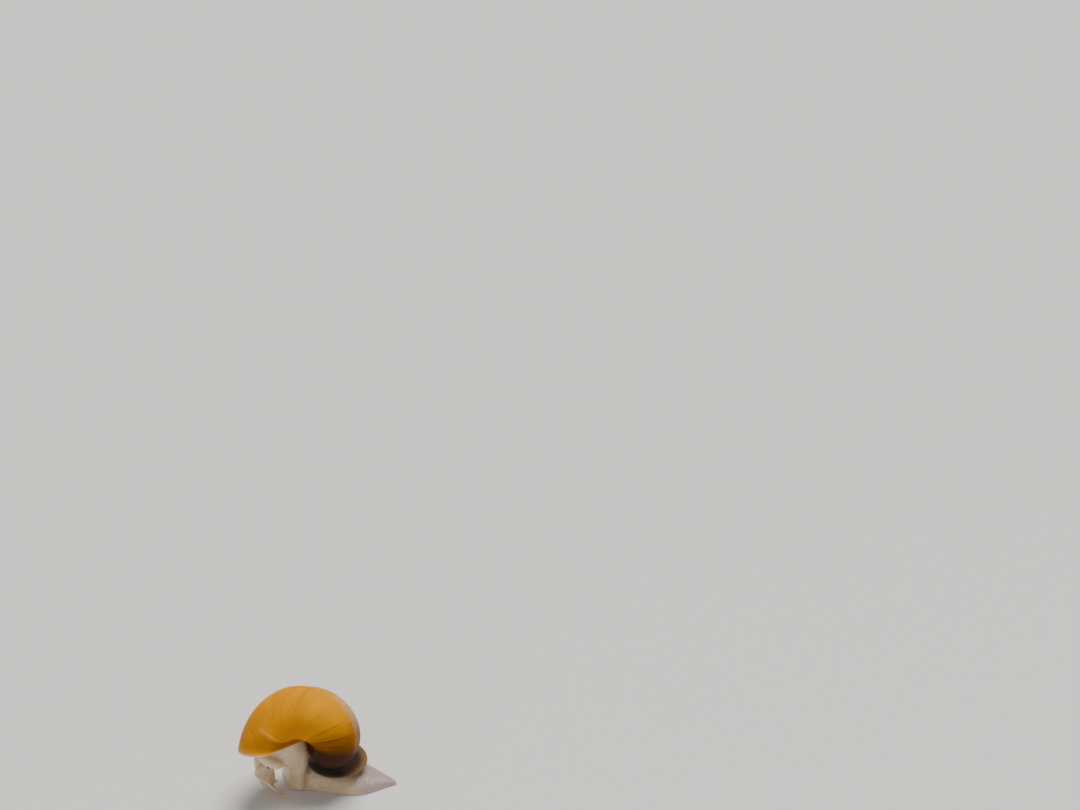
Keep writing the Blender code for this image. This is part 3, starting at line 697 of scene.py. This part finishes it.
class OBJECT_OT_snail_shell(bpy.types.Operator):
    """Sweeps the fine shell along its coil, closed at the apex, in the umbilicus and deep in the mouth"""

    bl_idname = "object.snail_shell"
    bl_label = "Shell"

    def execute(self, context):
        settings = context.scene.snail_shell
        finish = shell_finish(settings)
        tree = coil_tree()
        steps = settings.steps
        outline, joint = whorl_outline()
        rim = outline[-1]
        mouth = mouth_outline(outline, joint)
        bm = bmesh.new()
        coil_band(bm, tree, finish, outline[: joint + 1], -WHORLS, 0.0, WHORLS * steps, (0.0, 0.5))
        coil_band(bm, tree, finish, outline[joint:], -1.0, 0.0, steps, (0.5, 1.0))
        wall = [rim.lerp(rim / WHORL_GROWTH, i / SPAN_STEPS) for i in range(SPAN_STEPS + 1)]
        coil_band(bm, tree, finish, wall, -UMBILICUS_WHORLS, 0.0, UMBILICUS_WHORLS * steps, (1.0, 1.2))

        throat = inward(mouth, LIP_THICKNESS)
        deep = round(MOUTH_DEPTH * steps)
        ring = [*throat, throat[0]]
        coil_band(bm, tree, finish, ring, -deep / steps, 0.0, deep, (0.0, 1.0), inside=1.0)
        self.bead(bm, mouth, throat)
        bmesh.ops.remove_doubles(bm, verts=bm.verts, dist=WELD)
        holes = bmesh.ops.holes_fill(bm, edges=[e for e in bm.edges if e.is_boundary])
        filled = bmesh.ops.triangulate(bm, faces=holes["faces"])["faces"]
        for face in filled:
            if face.calc_center_median().length < APEX_REACH:
                label(bm, face, WHORLS, 0.0)
            else:
                label(bm, face, 0.0, 1.0)
        bmesh.ops.recalc_face_normals(bm, faces=bm.faces)
        bm.transform(shell_turn())
        shell = settle(object_from(bm, "snail_shell", finish), "shell")
        shell.data.shade_smooth()
        shell.data.set_sharp_from_angle(angle=SHELL_SHARP)
        piece_on(shell, "golden_shell", "shell")
        return {"FINISHED"}

    def bead(self, bm, mouth, throat):
        """The rounded lip, from the rim of the mouth over to the throat."""
        rows = []
        for ring in range(LIP_RINGS + 1):
            share = ring / LIP_RINGS
            out = LIP_BEAD * math.sin(math.pi * share)
            spots = [first.lerp(second, share) for first, second in zip(mouth, throat)]
            rows.append([bm.verts.new((spot.x, -out, spot.y)) for spot in spots])
        for ring, (first, second) in enumerate(zip(rows, rows[1:])):
            for face in join_rings(bm, first, second):
                label(bm, face, 0.0, ring / LIP_RINGS)


# The operculum


def horn_finish(settings):
    """Dark horn with growth rings round its middle and a thinner, lighter rim, lighter still on one side as
    painted light.
    """
    finish = Finish(
        "horn", 0.48, IOR=1.28, Subsurface_Weight=0.10,
        Subsurface_Radius=(1.0, 0.5, 0.2), Subsurface_Scale=0.8 * MM,
    )
    share = finish.number("share")
    place = finish.place()
    clouds = finish.noise(place, 240.0, 3.0)
    rings = finish.noise(finish.vector((share + (clouds - 0.5) * 0.03) * 34.0, 0.0, 0.0), 1.0, 3.0, 0.7)
    thin = (share + (clouds - 0.5) * 0.18).step_up(0.66, 1.0)
    side = finish.number("side")
    colour = finish.mix(rings.step_up(0.35, 0.7) * 0.5, settings.dark, (0.075, 0.042, 0.022))
    # Painted light: the thin rim is lighter on one side, as if lit through.
    colour = finish.mix(thin * (0.35 + side * 0.6), colour, settings.rim)
    grain = finish.noise(place, 1800.0, 3.0)
    return finish.paint(colour, 0.44 + clouds * 0.16, ((rings, 0.16 * MM), (grain, 0.02 * MM)))


class OBJECT_OT_snail_operculum(bpy.types.Operator):
    """Builds the horny dish on the back of the foot"""

    bl_idname = "object.snail_operculum"
    bl_label = "Operculum"

    def execute(self, context):
        settings = context.scene.snail_horn
        bm = bmesh.new()
        share_of = bm.verts.layers.float.new("share")
        lit_side_of = bm.verts.layers.float.new("side")

        def vert(x, y, z, share, angle):
            """A point of the dish, with its share of the way to the rim and how near the side with painted
            light it is.
            """
            made = bm.verts.new((x, y, z))
            made[share_of] = share
            made[lit_side_of] = 0.5 + 0.5 * math.cos(angle - DISH_LIT_SIDE)
            return made

        def ring(share, up):
            """A ring of points at a share of the way to the rim, above or below the middle of the horn."""
            thick = DISH_EDGE + (DISH_THICKNESS - DISH_EDGE) * (1 - share)
            height = DISH_RISE * share**2 + up * thick / 2
            row = []
            for spoke in range(settings.spokes):
                angle = math.tau * spoke / settings.spokes
                egg = 1 + DISH_EGG * math.cos(angle)
                x = DISH_HALF_WIDTH * share * math.cos(angle)
                y = DISH_HALF_LENGTH * share * egg * math.sin(angle)
                row.append(vert(x, y, height, share, angle))
            return row

        shares = [(i + 1) / settings.rings for i in range(settings.rings)]
        rows = [ring(share, 1) for share in shares] + [ring(share, -1) for share in reversed(shares)]
        for first, second in zip(rows, rows[1:]):
            join_rings(bm, first, second)
        for row, up in ((rows[0], 1), (rows[-1], -1)):
            tip = vert(0, 0, up * DISH_THICKNESS / 2, 0.0, 0.0)
            for i in range(settings.spokes):
                bm.faces.new((row[i], row[(i + 1) % settings.spokes], tip))
        bmesh.ops.recalc_face_normals(bm, faces=bm.faces)
        bm.transform(Matrix.Rotation(DISH_TILT, 4, "X") @ Matrix.Rotation(DISH_TURN, 4, "Z"))
        dish = settle(object_from(bm, "snail_operculum", horn_finish(settings)), "operculum")
        dish.data.shade_smooth()
        dish.data.set_sharp_from_angle(angle=DISH_SHARP)
        piece_on(dish, "horn", "operculum")
        return {"FINISHED"}


# The skin and the eyes


def skin_finish(settings):
    """Moist skin: cream with tan clouds and golden flecks, painted shadow under the operculum, and a greyer,
    thinner tail.
    """
    finish = Finish(
        "snail_flesh", 0.42, Coat_Weight=0.5, Coat_Roughness=0.2, IOR=1.4,
        Subsurface_Weight=0.35, Subsurface_Radius=(1.0, 0.5, 0.35), Subsurface_Scale=1.8 * MM,
    )
    place = finish.place()
    out, along, height = finish.split(place)
    clouds = finish.noise(place, 170.0, 4.0, 0.6)
    mottle = finish.noise(place, 620.0, 3.0, 0.6)
    colour = finish.mix(clouds.step_up(0.44, 0.72) * 0.45, settings.cream, settings.tan)
    colour = finish.mix(mottle.step_up(0.52, 0.70) * 0.22, colour, settings.tan)
    # Painted shadow: the foot is darkened with tan under the operculum and the shell, and its veins more so.
    shade = (along + (clouds - 0.5) * 0.012).step_up(-0.002, 0.006)
    colour = finish.mix(shade * 0.35, colour, settings.tan)
    tail = (along + (clouds - 0.5) * 0.01).step_up(0.008, 0.018)
    colour = finish.mix(tail * 0.85, colour, settings.tail)
    veins = finish.cells(finish.noise_place(place, 5.0 * MM), 380.0, "DISTANCE_TO_EDGE")
    veins = veins.step_down(0.0, 0.12)
    colour = finish.mix(veins * (0.06 + shade * 0.12), colour, settings.tan)
    flecks = finish.cells(place, 1500.0).step_down(0.12, 0.26) * mottle.step_up(0.45, 0.6)
    colour = finish.mix(flecks * 0.5, colour, settings.fleck)
    colour = finish.mix(height.step_down(0.2 * MM, 1.4 * MM) * 0.35, colour, (0.70, 0.56, 0.48))
    mouth = finish.number("mouth")
    colour = finish.mix(mouth.step_up(0.25, 0.8) * 0.8, colour, (0.16, 0.06, 0.03))
    folds = finish.cells(place, 900.0, "SMOOTH_F1")
    rings = finish.noise(finish.vector(out * 0.5, along * 0.7, height * 2.2), 900.0, 2.0)
    creases = abs(rings - 0.5).step_up(0.0, 0.09)
    pores = finish.noise(place, 2600.0, 3.0)
    colour = finish.mix((1.0 - creases) * 0.14, colour, settings.tan)
    bumps = ((folds, 0.12 * MM), (creases, 0.07 * MM), (pores, 0.04 * MM))
    return finish.paint(colour, 0.36 + mottle * 0.14, bumps)


def shape_mouth(mesh):
    """Presses the slit of the mouth into the snout between two lips, and keeps its depth on the mesh."""
    low, high = (Vector(corner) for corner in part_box("snout"))
    middle = Vector(((low.x + high.x) / 2, low.y + MOUTH_IN.x, low.z + MOUTH_IN.y))
    depth = mesh.attributes.new("mouth", "FLOAT", "POINT")
    moves = []
    for vert in mesh.vertices:
        off = vert.co - middle
        down = off.dot(MOUTH_SLOPE) / MOUTH_LENGTH
        share = math.exp(-(down**2)) * (off.length < MOUTH_REACH)
        slit = math.exp(-((off.x / MOUTH_WIDTH) ** 2)) * share
        lips = math.exp(-(((abs(off.x) - LIP_OUT) / LIP_OUT * 1.6) ** 2)) * share
        depth.data[vert.index].value = slit
        moves.append(vert.normal * (lips * LIP_HEIGHT - slit * MOUTH_CUT))
    for vert, move in zip(mesh.vertices, moves):
        vert.co += move


def eye_place(side):
    """The middle and the radius of an eye, and the way it looks."""
    low, high = (Vector(corner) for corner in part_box(f"eye_{side}"))
    outwards = 1.0 if side == "left" else -1.0
    return (low + high) / 2, (high.x - low.x) / 2, Vector((outwards, *EYE_LOOK)).normalized()


class OBJECT_OT_snail_skin(bpy.types.Operator):
    """Joins the body's parts under one skin with fine folds"""

    bl_idname = "object.snail_skin"
    bl_label = "Skin"

    def execute(self, context):
        settings = context.scene.snail_skin
        bm = bmesh.new()
        for name in FLESH:
            bm.from_mesh(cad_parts[name].data)
        bmesh.ops.remove_doubles(bm, verts=bm.verts, dist=WELD)
        for side in ("left", "right"):
            middle, _, look = eye_place(side)
            seat = Matrix.Translation(middle - look * EYE_SEAT_DEPTH)
            bmesh.ops.create_icosphere(bm, subdivisions=EYE_SEAT_FINENESS, radius=EYE_SEAT, matrix=seat)
        skin = object_from(bm, "snail_skin")
        for name, kind, values in (
            ("swell", "DISPLACE", {"mid_level": 0.0, "strength": SKIN_REACH}),
            ("join", "REMESH", {"mode": "VOXEL", "voxel_size": settings.voxel}),
            ("shrink", "DISPLACE", {"mid_level": 0.0, "strength": -SKIN_REACH}),
            ("soften", "SMOOTH", {"factor": 0.5, "iterations": SKIN_SMOOTHINGS}),
        ):
            modifier = skin.modifiers.new(name, kind)
            for key, value in values.items():
                setattr(modifier, key, value)
        apply_modifiers(skin)
        skin.data.materials.clear()
        use_tree(
            skin, wrinkle_tree(), Depth=settings.wrinkles, Size=FOLD_SIZE, Floor=FOLD_FLOOR,
            Finish=skin_finish(settings),
        )
        shape_mouth(skin.data)
        floor = CAD_BOX[0][2]
        for vert in skin.data.vertices:
            vert.co.z = max(vert.co.z, floor)
        skin.data.shade_smooth()
        piece_on(skin, "snail_flesh", *FLESH)
        return {"FINISHED"}


def eye_finish():
    """A black, wet eye with a brown rim."""
    finish = Finish("eye", 0.08, Coat_Weight=1.0, Coat_Roughness=0.03)
    outward = finish.number("outward")
    streaks = finish.noise(finish.place(), 3000.0, 2.0)
    ring = (outward + streaks * 0.1).step_down(0.02, 0.24)
    return finish.paint(finish.mix(ring, (0.005, 0.004, 0.004), (0.30, 0.15, 0.03)))


class OBJECT_OT_snail_eyes(bpy.types.Operator):
    """Builds the two small eyes on their stalks"""

    bl_idname = "object.snail_eyes"
    bl_label = "Eyes"

    def execute(self, context):
        finish = eye_finish()
        for side in ("left", "right"):
            middle, radius, look = eye_place(side)
            bm = bmesh.new()
            bmesh.ops.create_uvsphere(bm, u_segments=EYE_SEGMENTS, v_segments=EYE_RINGS, radius=radius)
            outward = bm.verts.layers.float.new("outward")
            for vert in bm.verts:
                vert[outward] = vert.co.normalized().dot(look)
                vert.co *= 1.0 + EYE_BULGE * max(vert[outward], 0.0) ** 3
            bm.transform(Matrix.Translation(middle))
            eye = object_from(bm, f"snail_eye_{side}", finish)
            eye.data.shade_smooth()
            piece_on(eye, "eye", f"eye_{side}")
        return {"FINISHED"}


# The stage


def soft_light(name, direction, angle, strength, colour):
    """A wide, even light from far away: direction points from the snail to the light."""
    lamp = bpy.data.lights.new(name, "SUN")
    lamp.angle = math.radians(angle)
    lamp.energy = strength
    lamp.color = colour
    obj = add_object(lamp, name)
    obj.location = Vector(direction)
    obj.rotation_euler = (-Vector(direction)).to_track_quat("-Z", "Y").to_euler()


class OBJECT_OT_snail_stage(bpy.types.Operator):
    """Sets the floor, the lights and the camera"""

    bl_idname = "object.snail_stage"
    bl_label = "Stage"

    def execute(self, context):
        settings = context.scene.snail_stage
        finish = Finish("floor", 0.7)
        dust = finish.noise(finish.place(), 900.0, 3.0)
        finish.paint(finish.mix(dust * 0.06, settings.floor, (0.5, 0.5, 0.5)), None, ((dust, 0.01 * MM),))
        bm = bmesh.new()
        bmesh.ops.create_grid(bm, x_segments=1, y_segments=1, size=FLOOR_SIZE)
        floor = object_from(bm, "floor", finish.material)

        for name, direction, angle, share, colour in LIGHTS:
            soft_light(name, direction, angle, settings.light * share, colour)
        world = bpy.data.worlds.new("studio")
        world.use_nodes = True
        background = world.node_tree.nodes["Background"]
        background.inputs["Color"].default_value = SKY
        background.inputs["Strength"].default_value = settings.fill
        context.scene.world = world

        lens = bpy.data.cameras.new("camera")
        lens.sensor_width = CAMERA_SENSOR
        lens.lens = CAMERA_LENS
        lens.clip_start = CAMERA_NEAR
        camera = add_object(lens, "camera")
        camera.location = CAMERA_PLACE
        camera.rotation_euler = (math.pi / 2 - CAMERA_PITCH, 0.0, CAMERA_HEADING - math.pi / 2)
        context.scene.camera = camera
        return {"FINISHED"}


class VIEW3D_PT_snail(bpy.types.Panel):
    """Lists the snail's pieces and their settings"""

    bl_label = "Apple Snail"
    bl_idname = "VIEW3D_PT_snail"
    bl_space_type = "VIEW_3D"
    bl_region_type = "UI"
    bl_category = "Apple Snail"

    def draw(self, context):
        scene = context.scene
        for group, operator in (
            (scene.snail_shell, "object.snail_shell"), (scene.snail_skin, "object.snail_skin"),
            (scene.snail_horn, "object.snail_operculum"), (scene.snail_stage, "object.snail_stage"),
        ):
            box = self.layout.box()
            for name in group.__annotations__:
                box.prop(group, name)
            box.operator(operator)
        self.layout.operator("object.snail_eyes")


SETTINGS = {
    "snail_shell": SnailShellSettings,
    "snail_skin": SnailSkinSettings,
    "snail_horn": SnailHornSettings,
    "snail_stage": SnailStageSettings,
}
CLASSES = (
    *SETTINGS.values(),
    OBJECT_OT_snail_shell,
    OBJECT_OT_snail_operculum,
    OBJECT_OT_snail_skin,
    OBJECT_OT_snail_eyes,
    OBJECT_OT_snail_stage,
    VIEW3D_PT_snail,
)


def register():
    """Adds the settings, the operators and the panel to Blender."""
    for cls in CLASSES:
        bpy.utils.register_class(cls)
    for name, group in SETTINGS.items():
        setattr(bpy.types.Scene, name, PointerProperty(type=group))


def unregister():
    """Takes them out again."""
    for name in SETTINGS:
        delattr(bpy.types.Scene, name)
    for cls in reversed(CLASSES):
        bpy.utils.unregister_class(cls)


def main():
    """Builds every piece and the stage."""
    register()
    bpy.ops.object.snail_shell()
    bpy.ops.object.snail_operculum()
    bpy.ops.object.snail_skin()
    bpy.ops.object.snail_eyes()
    bpy.ops.object.snail_stage()


if __name__ == "__main__":
    main()
